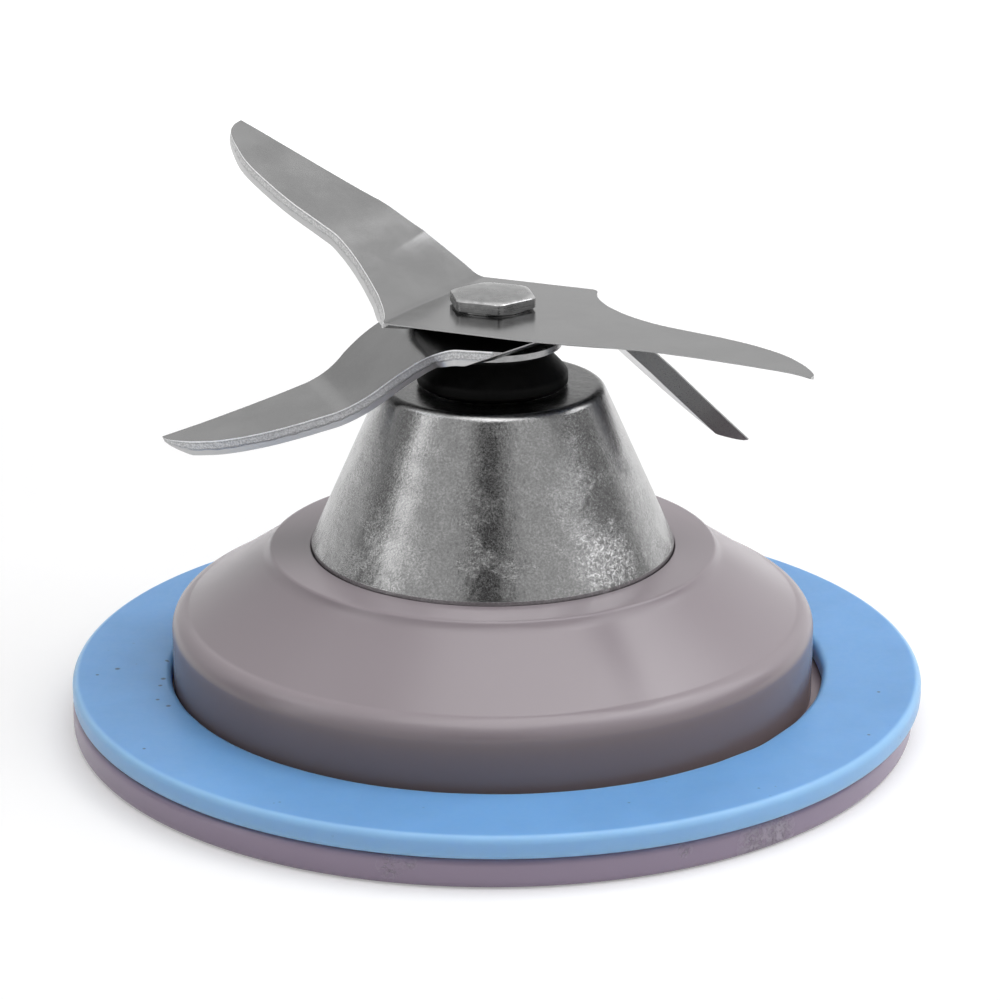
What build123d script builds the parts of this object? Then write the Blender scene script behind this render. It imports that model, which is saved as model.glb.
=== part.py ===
from build123d import *
import os

# Blade unit of a kitchen blender, in millimetres. +Z is up along the shaft,
# and the origin is on the shaft's axis in the flange's bottom face.

# Moulded base: flange, upright wall, sloped shoulder and raised lip
flange_thickness = 2.4
flange_round = 0.6
collar_radius = 26.4
collar_height = 7.9
shoulder_run = 1.4
shoulder_rise = 1.7
lip_width = 3.2
cove_run = 0.75
lip_rise = 0.9
lip_height = 14.55
lip_round = 0.35
collar_wall = 2.4
deck_thickness = 2.2
seat_depth = 1.2
rib_count = 6
rib_thickness = 1.6
rib_depth = 3.0
rib_clearance = 0.4

# Loose gasket round the wall, pushed a little to one side
gasket_width = 8.1
gasket_thickness = 1.9
gasket_slack = 0.5
gasket_shift = 0.33
gasket_round = 0.6
flange_inset = 0.3

# Metal bearing housing: a cone on a threaded stem
housing_radius = 14.85
housing_rim = 0.9
housing_top_radius = 8.95
housing_height = 28.1
housing_round = 0.9
seat_clearance = 0.2
stem_radius = 7.0
stem_clearance = 0.15
stem_length = 5.8
housing_gasket_thickness = 0.6
housing_gasket_inset = 0.3
housing_washer_thickness = 0.6
housing_washer_radius = 12.0
nut_across_flats = 20.0
nut_thickness = 2.2
nut_chamfer = 0.6

# Bearings and seal inside the housing
bushing_wall = 1.75
bushing_length = 6.0
bushing_chamfer = 0.4
running_clearance = 0.03
felt_clearance = 0.2
seal_wall = 2.4
seal_height = 3.6
seal_recess = 0.3
seal_lip_height = 0.8
seal_lip_gap = 0.05

# Shaft and what turns with it
shaft_radius = 3.175
shank_radius = 2.75
shank_flat = 2.1
shank_clearance = 0.02
head_across_flats = 6.4
head_thickness = 0.75
head_dome = 0.25
head_round = 0.3
head_heading = 40.0
slinger_gap = 0.2
slinger_radius = 6.1
slinger_neck_radius = 4.5
slinger_height = 3.13
slinger_rim = 0.55
slinger_flare = 0.1
slinger_hollow = 0.7
washer_radius = 5.56
washer_thickness = 0.5
thrust_radius = 6.2
thrust_thickness = 0.5
thrust_gap = 0.1
clip_thickness = 0.6
clip_radius = 5.4
clip_mouth = 4.4
groove_radius = 2.6
clip_fit = 0.02
coupling_radius = 8.5
coupling_height = 6.0
coupling_gap = 0.2
coupling_chamfer = 0.6
socket_across_flats = 8.6
socket_corner = 1.0
socket_depth = 3.8
shaft_tail = 2.0

# Stamped blades. A hub has half its length and the heading of its front wing. A wing has its
# reach along the blank, a flat land, a bend at the root (up is plus), a second soft bend at
# some reach, and a twist that grows beyond the root. Its trailing edge and the side of the hub
# in line with it are ground to a bevel from below, which leaves a narrow land. The root fit is
# the mismatch that closes where a wing's smooth skin joins the flat hub.
blade_thickness = 1.3
blade_half_width = 8.4
bend_radius = 1.2
settle_radius = 8.0
twist_reach = 6.0
root_land = 0.3
root_fit = 0.005
grind_width = 2.2
grind_land = 0.2
grind_run_out = 2.0
grind_run_on = 1.2
upper_half = 4.8
upper_heading = -27.5
upper_reach = 25.3
high_land = 0.1
high_bend = 29.5
high_bend_radius = 2.2
high_settle = -9.0
high_settle_reach = 9.5
high_twist = -11.0
lower_half = 5.3
lower_heading = 19.7
lower_corner_along = 2.2
lower_corner_out = 0.4
near_reach = 23.0
near_bend = -47.0
near_settle = 31.0
near_settle_reach = 6.5
near_twist = -5.0
steep_reach = 18.3
steep_land = 3.1
steep_bend = -45.0
steep_twist = -2.0
# Outline of a wing: share of its reach, then shares of the half width at the leading edge
# and at the trailing edge of the level, the high and the lower wings
wing_rows = (
    (0.0, 1.0, -0.93, -0.93, -0.5),
    (0.015, 0.985, -0.93, -0.92, -0.56),
    (0.028, 0.94, -0.92, -0.91, -0.61),
    (0.04, 0.85, -0.92, -0.9, -0.65),
    (0.055, 0.77, -0.92, -0.89, -0.69),
    (0.08, 0.67, -0.91, -0.87, -0.76),
    (0.11, 0.575, -0.9, -0.85, -0.83),
    (0.14, 0.49, -0.89, -0.82, -0.89),
    (0.24, 0.29, -0.85, -0.75, -0.87),
    (0.36, 0.13, -0.73, -0.735, -0.79),
    (0.48, 0.06, -0.69, -0.73, -0.72),
    (0.6, 0.0, -0.69, -0.745, -0.71),
    (0.72, -0.1, -0.7, -0.765, -0.74),
    (0.84, -0.265, -0.72, -0.785, -0.76),
    (0.92, -0.45, -0.745, -0.8, -0.77),
    (0.965, -0.59, -0.78, -0.81, -0.785),
    (0.99, -0.69, -0.81, -0.81, -0.795),
    (1.0, -0.75, -0.82, -0.81, -0.8),
)

# Radii and heights that follow from the sizes above
gasket_inner = collar_radius + gasket_slack
gasket_radius = gasket_inner + gasket_width
flange_radius = gasket_radius - flange_inset
seat_floor = lip_height - seat_depth
deck_bottom = seat_floor - deck_thickness
housing_base = seat_floor + housing_gasket_thickness
stem_bottom = housing_base - stem_length
seal_top = housing_height - seal_recess
seal_bottom = seal_top - seal_height
bore_radius = shaft_radius + bushing_wall
slinger_bottom = housing_height + slinger_gap
stack_bottom = slinger_bottom + slinger_height
lower_blade_bottom = stack_bottom + washer_thickness
upper_blade_bottom = lower_blade_bottom + blade_thickness
stack_top = upper_blade_bottom + blade_thickness
thrust_top = stem_bottom - thrust_gap
clip_top = thrust_top - thrust_thickness
clip_bottom = clip_top - clip_thickness
coupling_top = clip_bottom - coupling_gap
coupling_bottom = coupling_top - coupling_height
shaft_bottom = coupling_top - shaft_tail


def turned(points):
    """Solid of revolution about the shaft's axis from a closed (radius, height) outline."""
    outline = Plane.XZ * make_face(Polyline(*points, close=True))
    return revolve(outline, Axis.Z)


def disc(radius, bottom, height):
    """Plain disc on the shaft's axis."""
    return extrude(Pos(0, 0, bottom) * Circle(radius), height)


def ring(outer, inner, bottom, height):
    """Plain ring on the shaft's axis."""
    return disc(outer, bottom, height) - disc(inner, bottom, height)


def double_flat(radius, flat):
    """Round section with two flats, which keeps a piece from turning on the shaft."""
    return Circle(radius) & Rectangle(2 * radius, 2 * flat)


def circles(solid, radius):
    """Circular edges of one radius."""
    round_edges = solid.edges().filter_by(GeomType.CIRCLE)
    return round_edges.filter_by(lambda edge: abs(edge.radius - radius) < 1e-6)


def base_collar():
    """Flange, wall, shoulder and lip as one hollow moulding with ribs under its deck."""
    shoulder_top = collar_height + shoulder_rise
    shoulder_radius = collar_radius - shoulder_run
    seat_radius = housing_radius + seat_clearance
    lip_radius = seat_radius + lip_width
    slope_radius = lip_radius + cove_run
    foot = Polyline(
        (0, 0), (flange_radius, 0), (flange_radius, flange_thickness),
        (collar_radius, flange_thickness), (collar_radius, collar_height),
    )
    shoulder = TangentArc((collar_radius, collar_height), (shoulder_radius, shoulder_top), tangent=(0, 1))
    slope = Line(shoulder @ 1, (slope_radius, lip_height - lip_rise))
    cove = TangentArc(slope @ 1, (lip_radius, lip_height), tangent=slope % 1)
    lip = Polyline(cove @ 1, (seat_radius, lip_height), (seat_radius, seat_floor), (0, seat_floor), (0, 0))
    body = revolve(Plane.XZ * make_face([foot, shoulder, slope, cove, lip]), Axis.Z)
    body = fillet(circles(body, lip_radius), lip_round)
    body = fillet(circles(body, flange_radius), flange_round)

    cavity_radius = collar_radius - collar_wall
    cavity = turned((
        (0, 0), (cavity_radius, 0), (cavity_radius, shoulder_top - collar_wall),
        (lip_radius, deck_bottom), (0, deck_bottom),
    ))
    rib_start = max(housing_washer_radius, nut_across_flats / 3 ** 0.5) + rib_clearance
    rib = Pos(rib_start + cavity_radius / 2, 0, deck_bottom - rib_depth / 2)
    rib *= Box(cavity_radius, rib_thickness, rib_depth)
    ribs = PolarLocations(0, rib_count, start_angle=180 / rib_count) * rib
    ribs = Compound(children=ribs) & cavity
    hole = disc(stem_radius + stem_clearance, deck_bottom, deck_thickness)
    return body - (cavity - ribs) - hole


def sealing_gasket():
    """Flat silicone ring with rounded edges, resting on the flange."""
    body = ring(gasket_radius, gasket_inner, flange_thickness, gasket_thickness)
    body = fillet(circles(body, gasket_radius) + circles(body, gasket_inner), gasket_round)
    return Pos(gasket_shift, 0, 0) * body


def bearing_housing():
    """Cone with a rounded top edge, a stem below and a stepped bore."""
    rim_top = housing_base + housing_rim
    body = turned((
        (0, stem_bottom), (stem_radius, stem_bottom), (stem_radius, housing_base),
        (housing_radius, housing_base), (housing_radius, rim_top),
        (housing_top_radius, housing_height), (0, housing_height),
    ))
    body = fillet(circles(body, housing_top_radius), housing_round)
    bore = disc(bore_radius, stem_bottom, housing_height - stem_bottom)
    pocket = disc(shaft_radius + seal_wall, seal_bottom, housing_height - seal_bottom)
    return body - bore - pocket


def bushing(bottom):
    """Sintered bearing with chamfered mouths."""
    bore = shaft_radius + running_clearance
    body = ring(bore_radius, bore, bottom, bushing_length)
    return chamfer(circles(body, bore), bushing_chamfer)


def shaft_seal():
    """Rubber cup whose thin upper lip closes on the shaft."""
    outer = shaft_radius + seal_wall
    lip = shaft_radius + seal_lip_gap
    waist = shaft_radius + seal_wall / 3
    return turned((
        (waist, seal_bottom), (outer, seal_bottom), (outer, seal_top), (waist, seal_top),
        (lip, seal_top - seal_lip_height / 2), (lip, seal_top - seal_lip_height),
        (waist, seal_top - 2 * seal_lip_height),
    ))


def housing_nut():
    """Thin hexagonal nut, chamfered at its corners."""
    top = deck_bottom - housing_washer_thickness
    hexagon = RegularPolygon(nut_across_flats / 2, 6, major_radius=False)
    body = extrude(Pos(0, 0, top - nut_thickness) * (hexagon - Circle(stem_radius)), nut_thickness)
    corner = nut_across_flats / 3 ** 0.5
    cone = turned((
        (0, top - nut_thickness), (corner - nut_chamfer, top - nut_thickness),
        (corner, top - nut_thickness + nut_chamfer), (corner, top), (0, top),
    ))
    return body & cone


def drive_shaft():
    """Turned shaft with flats at both ends, a clip groove and an upset hexagonal head."""
    body = disc(shaft_radius, coupling_top, stack_bottom - coupling_top)
    body -= ring(shaft_radius, groove_radius, clip_bottom, clip_thickness)
    shank = double_flat(shank_radius, shank_flat)
    body += extrude(Pos(0, 0, stack_bottom) * shank, stack_top - stack_bottom)
    body += extrude(Pos(0, 0, shaft_bottom) * shank, coupling_top - shaft_bottom)
    hexagon = fillet(RegularPolygon(head_across_flats / 2, 6, major_radius=False).vertices(), head_round)
    head = extrude(Pos(0, 0, stack_top) * Rot(0, 0, head_heading) * hexagon, head_thickness + head_dome)
    corner = head_across_flats / 3 ** 0.5
    crown = Polyline((0, stack_top + head_thickness + head_dome), (0, stack_top), (corner, stack_top),
                     (corner, stack_top + head_thickness))
    dome = TangentArc(crown @ 0, crown @ 1, tangent=(1, 0))
    return body + (head & revolve(Plane.XZ * make_face([crown, dome]), Axis.Z))


def slinger_seal():
    """Rubber umbrella: a flared rim over the housing's top and a neck under the blades."""
    top = stack_bottom
    rim = Polyline(
        (shaft_radius, top), (shaft_radius, slinger_bottom + slinger_hollow),
        (slinger_radius - slinger_hollow, slinger_bottom), (slinger_radius, slinger_bottom),
        (slinger_radius, slinger_bottom + slinger_rim),
    )
    flare = Spline(
        rim @ 1, (slinger_neck_radius + slinger_flare, slinger_bottom + slinger_height / 2),
        tangents=((-1, 0.8), (0, 1)),
    )
    neck = Polyline(flare @ 1, (slinger_neck_radius, top), (shaft_radius, top))
    return revolve(Plane.XZ * make_face([rim, flare, neck]), Axis.Z)


def retaining_clip():
    """Spring clip, open on one side, that snaps into the shaft's groove."""
    plate = Circle(clip_radius) - Circle(groove_radius + clip_fit)
    mouth = Pos(clip_radius / 2, 0) * Rectangle(clip_radius, clip_mouth)
    return extrude(Pos(0, 0, clip_bottom) * (plate - mouth), clip_thickness)


def drive_coupling():
    """Round coupling with a square socket below and flats for the shaft above."""
    body = disc(coupling_radius, coupling_bottom, coupling_height)
    body = chamfer(circles(body, coupling_radius), coupling_chamfer)
    socket = RectangleRounded(socket_across_flats, socket_across_flats, socket_corner)
    body -= extrude(Pos(0, 0, coupling_bottom) * socket, socket_depth)
    keyway = double_flat(shank_radius + shank_clearance, shank_flat + shank_clearance)
    return body - extrude(Pos(0, 0, coupling_bottom) * keyway, coupling_height)


def bent_line(reach, land, bend, radius, settle, settle_reach):
    """Top line of a wing in its upright plane, from the hub's edge to past the tip."""
    path = [Line((0, 0), (land, 0))]
    if bend:
        radius += blade_thickness if bend < 0 else 0
        path.append(JernArc(path[-1] @ 1, path[-1] % 1, radius, bend))
    used = sum(edge.length for edge in path)
    path.append(Line(path[-1] @ 1, path[-1] @ 1 + (path[-1] % 1) * (settle_reach - used)))
    if settle:
        path.append(JernArc(path[-1] @ 1, path[-1] % 1, settle_radius, settle))
    path.append(Line(path[-1] @ 1, path[-1] @ 1 + (path[-1] % 1) * reach))
    return Wire(path)


def ground_away(trail, depth=1.0):
    """Section of the metal that the grinding takes off below a trailing edge."""
    rise = blade_thickness - grind_land
    bottom = -blade_thickness - rise
    drop = (1 - depth) * blade_thickness
    return make_face(Polyline(
        (trail - grind_width, rise - grind_land - drop), (trail - grind_width, bottom - drop),
        (trail + 2 * grind_width, bottom - drop), close=True,
    ))


def side_grinding(start, end, top, run_past):
    """What is ground off below a straight side of a hub, from before its start to past its end."""
    run = Vector(*end) - Vector(*start)
    first = Vector(*start) - run.normalized() * grind_run_on
    frame = Plane((first.X, first.Y, top), x_dir=(-run.Y, run.X, 0), z_dir=(run.X, run.Y, 0))
    return extrude(frame * ground_away(0), grind_run_on + run.length + run_past)


def wing(half, heading, top, rows, reach, land=root_land, bend=0, radius=bend_radius,
         settle=0, settle_reach=None, twist=0):
    """One wing lofted through upright sections of the bent, twisted blank, and what is ground off it."""
    line = bent_line(reach, land, bend, radius, settle, settle_reach or reach)
    sections = []
    grinding = []
    past_tip = (1 + grind_width / reach, *rows[-1][1:])
    for share, lead, trail in [*rows, past_tip]:
        out = share * reach
        spot = line.position_at(out, position_mode=PositionMode.LENGTH)
        slope = line.tangent_at(out, position_mode=PositionMode.LENGTH)
        turn = twist * min(1, max(0, out - land) / twist_reach)
        frame = Plane((half + spot.X, 0, top + spot.Y), x_dir=(0, 1, 0), z_dir=(slope.X, 0, slope.Y))
        frame *= Rot(0, 0, turn)
        middle = Pos((lead + trail) / 2, -blade_thickness / 2)
        sections.append(frame * middle * Rectangle(lead - trail, blade_thickness))
        grinding.append(frame * ground_away(trail, min(1, out / grind_run_out)))
    return Rot(0, 0, heading) * loft(sections[:-1]), Rot(0, 0, heading) * loft(grinding)


def blade(half, heading, bottom, corner, run_past, front_rows, back_rows, front_wing, back_wing):
    """Stamped blade: a skewed flat hub with a flatted hole, and a wing on each end."""
    near_side = [(half, front_rows[0][2]), (half, front_rows[0][1]), *corner]
    far_side = [(-along, -out) for along, out in near_side]
    hub = Rot(0, 0, heading) * make_face(Polyline(*near_side, *far_side, close=True))
    top = bottom + blade_thickness
    body = extrude(Pos(0, 0, bottom) * hub, blade_thickness)
    front, front_grinding = wing(half, heading, top, front_rows, **front_wing)
    back, back_grinding = wing(half, heading + 180, top, back_rows, **back_wing)
    hole = double_flat(shank_radius + shank_clearance, shank_flat + shank_clearance)
    body = body.fuse(front, back, tol=root_fit) - extrude(Pos(0, 0, bottom) * hole, blade_thickness)
    body = body - front_grinding - back_grinding
    hub_grinding = side_grinding(far_side[-1], near_side[0], top, run_past)
    return body - Rot(0, 0, heading) * hub_grinding - Rot(0, 0, heading + 180) * hub_grinding


def outline_rows(column):
    """Rows of a wing in millimetres, with the trailing edge from one column."""
    return [(row[0], row[1] * blade_half_width, row[column] * blade_half_width) for row in wing_rows]


def upper_blade():
    """Blade with one wing level with its hub and one bent up."""
    level_wing = {"reach": upper_reach}
    high_wing = {"reach": upper_reach, "land": high_land, "bend": high_bend, "radius": high_bend_radius,
                 "settle": high_settle, "settle_reach": high_settle_reach, "twist": high_twist}
    return blade(upper_half, upper_heading, upper_blade_bottom, [], grind_run_out,
                 outline_rows(2), outline_rows(3), level_wing, high_wing)


def lower_blade():
    """Blade with both wings bent down, one steeply and one that levels out."""
    steep_wing = {"reach": steep_reach, "land": steep_land, "bend": steep_bend, "twist": steep_twist}
    near_wing = {"reach": near_reach, "bend": near_bend, "settle": near_settle,
                 "settle_reach": near_settle_reach, "twist": near_twist}
    corner = (lower_corner_along, blade_half_width + lower_corner_out)
    rows = outline_rows(4)
    return blade(lower_half, lower_heading, lower_blade_bottom, [corner], -grind_run_on,
                 rows, rows, steep_wing, near_wing)


parts = {
    "base_collar": base_collar(),
    "sealing_gasket": sealing_gasket(),
    "bearing_housing": bearing_housing(),
    "housing_gasket": ring(
        housing_radius - housing_gasket_inset, stem_radius + stem_clearance,
        seat_floor, housing_gasket_thickness,
    ),
    "housing_washer": ring(
        housing_washer_radius, stem_radius + stem_clearance,
        deck_bottom - housing_washer_thickness, housing_washer_thickness,
    ),
    "housing_nut": housing_nut(),
    "upper_bushing": bushing(seal_bottom - bushing_length),
    "lower_bushing": bushing(stem_bottom),
    "oil_felt": ring(
        bore_radius, shaft_radius + felt_clearance,
        stem_bottom + bushing_length, seal_bottom - stem_bottom - 2 * bushing_length,
    ),
    "shaft_seal": shaft_seal(),
    "drive_shaft": drive_shaft(),
    "upper_blade": upper_blade(),
    "lower_blade": lower_blade(),
    "blade_washer": ring(washer_radius, shank_radius + shank_clearance, stack_bottom, washer_thickness),
    "slinger_seal": slinger_seal(),
    "thrust_washer": ring(thrust_radius, shaft_radius + shank_clearance, clip_top, thrust_thickness),
    "retaining_clip": retaining_clip(),
    "drive_coupling": drive_coupling(),
}

os.makedirs("parts", exist_ok=True)
for name, shape in parts.items():
    export_step(shape, f"parts/{name}.step")
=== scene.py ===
"""Blade unit of a kitchen blender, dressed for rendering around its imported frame."""

import math
from typing import NamedTuple

import bmesh
import bpy
from bpy.props import FloatProperty, FloatVectorProperty, IntProperty, PointerProperty
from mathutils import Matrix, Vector, noise


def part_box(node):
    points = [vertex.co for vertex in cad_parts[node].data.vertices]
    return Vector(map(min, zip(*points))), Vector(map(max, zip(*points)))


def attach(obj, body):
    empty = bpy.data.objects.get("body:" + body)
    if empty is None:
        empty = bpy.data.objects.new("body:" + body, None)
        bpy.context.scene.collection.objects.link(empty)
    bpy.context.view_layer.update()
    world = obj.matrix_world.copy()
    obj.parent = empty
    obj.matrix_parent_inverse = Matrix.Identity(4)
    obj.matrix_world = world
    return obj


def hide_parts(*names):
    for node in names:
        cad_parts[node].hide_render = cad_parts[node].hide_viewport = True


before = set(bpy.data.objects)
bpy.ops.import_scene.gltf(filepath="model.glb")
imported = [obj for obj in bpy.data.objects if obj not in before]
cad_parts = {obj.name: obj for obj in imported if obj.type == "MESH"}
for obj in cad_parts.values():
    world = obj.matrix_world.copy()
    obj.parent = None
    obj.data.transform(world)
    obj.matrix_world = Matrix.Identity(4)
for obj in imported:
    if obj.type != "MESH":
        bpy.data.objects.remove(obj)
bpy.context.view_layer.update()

bl_info = {
    "name": "Blade Unit",
    "version": (1, 0, 0),
    "blender": (4, 5, 0),
    "location": "3D View > Sidebar > Blade Unit",
    "description": "Dresses the blade unit of a kitchen blender and sets its stage",
    "category": "Object",
}

MM = 0.001

# Verts closer than this, in metres, count as one
MERGE = 1e-8


# Sizes and colours that a user would change

def length(name, description, default):
    """Length property, in metres, whose default is given in millimetres."""
    return FloatProperty(
        name=name, description=description, default=default * MM, min=0, unit="LENGTH", precision=5
    )


def turn(name, description, default):
    """Angle property, in radians, whose default is given in degrees."""
    return FloatProperty(name=name, description=description, default=math.radians(default), subtype="ANGLE")


def colour(name, description, default):
    """Colour property with three linear channels."""
    return FloatVectorProperty(
        name=name, description=description, default=default, size=3, min=0, max=1, subtype="COLOR"
    )


def portion(name, description, default):
    """Property from 0 to 1."""
    return FloatProperty(
        name=name, description=description, default=default, min=0, max=1, subtype="FACTOR"
    )


def power(name, description, default):
    """Power property, in watts."""
    return FloatProperty(name=name, description=description, default=default, min=0, unit="POWER")


class MouldingSettings(bpy.types.PropertyGroup):
    """Moulded base with its flange."""
    wall_radius: length("Wall radius", "Outside radius of the upright wall", 26.4)
    wall_height: length("Wall height", "Height at which the shoulder starts", 7.9)
    shoulder_radius: length("Shoulder radius", "Radius where the slope starts", 25.0)
    shoulder_height: length("Shoulder height", "Height where the slope starts", 9.6)
    slope_radius: length("Slope radius", "Radius where the slope meets the cove", 19.0)
    slope_height: length("Slope height", "Height where the slope meets the cove", 13.65)
    lip_radius: length("Lip radius", "Outside radius of the raised lip", 18.25)
    seat_radius: length("Seat radius", "Radius of the seat for the housing", 14.9)
    seat_height: length("Seat height", "Height of the seat's floor", 13.35)
    hole_radius: length("Hole radius", "Hole for the housing's stem", 7.15)
    deck_height: length("Deck height", "Height of the deck's underside", 11.15)
    cavity_radius: length("Cavity radius", "Inside radius of the wall", 24.0)
    cavity_height: length("Cavity height", "Height of the wall inside", 7.2)
    flange_height: length("Flange height", "Thickness of the flange", 2.4)
    flange_round: length("Flange round", "Rounding of the flange's edge", 0.6)
    lip_round: length("Lip round", "Rounding of the lip's edge", 0.35)
    rib_count: IntProperty(name="Ribs", description="Ribs under the deck", default=6, min=0, max=24)
    rib_start: length("Rib start", "Radius where the ribs start", 12.4)
    rib_depth: length("Rib depth", "How far the ribs hang below the deck", 3.0)
    rib_thickness: length("Rib thickness", "Thickness of a rib", 1.6)
    tint: colour("Tint", "Colour of the moulding", (0.315, 0.273, 0.295))
    gloss: portion("Roughness", "Roughness of the moulded skin", 0.27)


class GasketSettings(bpy.types.PropertyGroup):
    """Loose silicone ring."""
    inner_radius: length("Inner radius", "Radius of the ring's hole", 26.9)
    edge_round: length("Edge round", "Rounding of the ring's edges", 0.6)
    tint: colour("Tint", "Colour of the silicone", (0.17, 0.385, 0.72))


class HousingSettings(bpy.types.PropertyGroup):
    """Plated bearing housing."""
    rim_height: length("Rim height", "Height of the upright rim at the cone's foot", 0.9)
    top_radius: length("Top radius", "Radius of the cone at its top", 8.95)
    top_round: length("Top round", "Rounding of the cone's top edge", 0.9)
    stem_radius: length("Stem radius", "Radius of the stem", 7.0)
    base_height: length("Base height", "Height of the cone's underside", 13.95)
    bore_radius: length("Bore radius", "Radius of the bore", 4.925)
    pocket_radius: length("Pocket radius", "Radius of the seal's pocket", 5.575)
    pocket_height: length("Pocket height", "Height of the pocket's floor", 24.2)
    tint: colour("Tint", "Reflectance of the plating", (0.4, 0.4, 0.4))
    grain: length("Grain", "Size of the crinkled grain", 0.16)


class BladeSettings(bpy.types.PropertyGroup):
    """Stamped blades."""
    thickness: length("Thickness", "Thickness of the sheet", 1.3)
    half_width: length("Half width", "Half the hub's width, which the outlines are shares of", 8.4)
    grind_land: length("Grind land", "Thickness left at the ground edge", 0.1)
    settle_radius: length("Second bend", "Radius of the soft second bend", 8.0)
    twist_reach: length("Twist reach", "Run over which a wing's twist grows", 6.0)
    tint: colour("Tint", "Reflectance of the satin steel", (0.268, 0.268, 0.268))


class FittingSettings(bpy.types.PropertyGroup):
    """Seals, fasteners and bearings."""
    slinger_neck: length("Slinger neck", "Radius of the slinger's neck", 4.5)
    slinger_rim: length("Slinger rim", "Height of the slinger's rim", 0.9)
    slinger_collar: length("Slinger collar", "Height of the upright neck above the flank", 0.5)
    slinger_hollow: length("Slinger hollow", "Hollow under the slinger", 0.7)
    shaft_radius: length("Shaft radius", "Radius of the shaft", 3.175)
    shank_radius: length("Shank radius", "Radius of the flatted ends of the shaft", 2.75)
    shank_flat: length("Shank flat", "Distance of a flat from the axis", 2.1)
    groove_radius: length("Groove radius", "Radius in the clip's groove", 2.6)
    head_flats: length("Head across flats", "Width of the hexagonal head", 6.4)
    head_height: length("Head height", "Height of the head", 1.1)
    head_seat: length("Head seat", "Depth of the blades' top below the solid head's top", 1.0)
    head_lift: length("Head lift", "Height of the collar under the head", 0.16)
    collar_radius: length("Collar radius", "Radius of the collar under the head", 3.05)
    head_side: length("Head side", "Height of the head's upright sides at its corners", 0.8)
    head_bevel: length("Head bevel", "Width of the worn bevel round the head", 0.18)
    head_heading: turn("Head heading", "Turn of the hexagonal head", 40)
    rubber: colour("Rubber", "Colour of the rubber", (0.0025, 0.0025, 0.0025))
    steel: colour("Steel", "Reflectance of turned steel", (0.31, 0.31, 0.31))
    bronze: colour("Bronze", "Reflectance of sintered bronze", (0.5, 0.3, 0.14))
    felt: colour("Felt", "Colour of the oiled felt", (0.22, 0.17, 0.1))
    sinter: colour("Sintered iron", "Reflectance of the coupling", (0.2, 0.195, 0.19))


class StageSettings(bpy.types.PropertyGroup):
    """Floor, light and camera."""
    focal_length: FloatProperty(
        name="Focal length", description="Focal length of the camera", default=109.364, min=10, unit="CAMERA"
    )
    camera_place: FloatVectorProperty(
        name="Camera place", description="Where the camera stands", default=(0.000597, -0.234651, 0.098696),
        size=3, subtype="TRANSLATION", unit="LENGTH"
    )
    pitch: turn("Pitch", "How far the camera looks down", 18.9517)
    ambient: portion("Ambient", "Strength of the light from all round", 0.24)
    right: power("Right", "Power of the right light", 2.0)
    left: power("Left", "Power of the left light", 0.25)
    overhead: power("Overhead", "Power of the overhead light", 2.2)


class BladeUnitSettings(bpy.types.PropertyGroup):
    """Everything that a user would change."""
    moulding: PointerProperty(type=MouldingSettings)
    gasket: PointerProperty(type=GasketSettings)
    housing: PointerProperty(type=HousingSettings)
    blades: PointerProperty(type=BladeSettings)
    fittings: PointerProperty(type=FittingSettings)
    stage: PointerProperty(type=StageSettings)


# Outlines of the wings: shares of the reach, then of the half width at the edge

LEAD = (
    (0, 1), (0.015, 0.985), (0.028, 0.94), (0.04, 0.85), (0.055, 0.77), (0.08, 0.67), (0.11, 0.575),
    (0.14, 0.49), (0.24, 0.29), (0.36, 0.14), (0.48, 0.065), (0.6, 0), (0.72, -0.1), (0.84, -0.265),
    (0.92, -0.45), (0.965, -0.59), (0.99, -0.69), (1, -0.75),
)
HIGH_LEAD = LEAD[:13] + ((0.84, -0.235), (0.92, -0.39), (0.965, -0.5), (0.99, -0.6), (1, -0.7))
LOW_LEAD = ((0, 0.794), (0.03, 0.765), (0.055, 0.725), (0.08, 0.665)) + LEAD[6:]
LEVEL_TRAIL = (
    (0, -0.93), (0.08, -0.91), (0.14, -0.885), (0.24, -0.82), (0.36, -0.74), (0.48, -0.7), (0.6, -0.69),
    (0.72, -0.7), (0.84, -0.72), (0.92, -0.745), (0.965, -0.78), (0.99, -0.81), (1, -0.82),
)
HIGH_TRAIL = (
    (0, -0.93), (0.08, -0.87), (0.14, -0.82), (0.24, -0.755), (0.36, -0.735), (0.48, -0.73),
    (0.6, -0.745), (0.72, -0.765), (0.84, -0.785), (0.92, -0.8), (1, -0.81),
)
LOW_TRAIL = ((0, -0.5), (0.1, -0.68), (0.2, -0.77), (0.36, -0.76), (0.6, -0.74), (0.84, -0.76), (1, -0.8))


class Wing(NamedTuple):
    """Wing that lies flat for a land, bends, settles back further out and twists: millimetres and degrees."""
    reach: float
    lead: tuple
    trail: tuple
    land: float = 0
    bend: float = 0
    radius: float = 0
    twist: float = 0
    settle: float = 0
    settle_reach: float = 0


class Blank(NamedTuple):
    """Blade with a flat hub and two wings, in millimetres and degrees.

    The bevel is as wide as grind. It runs on past the hub's end, or runs out before a corner of the hub.
    """
    half: float
    heading: float
    grind: float
    front: Wing
    back: Wing
    run_on: float = 0
    corner: tuple = None
    run_out: float = 0


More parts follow.
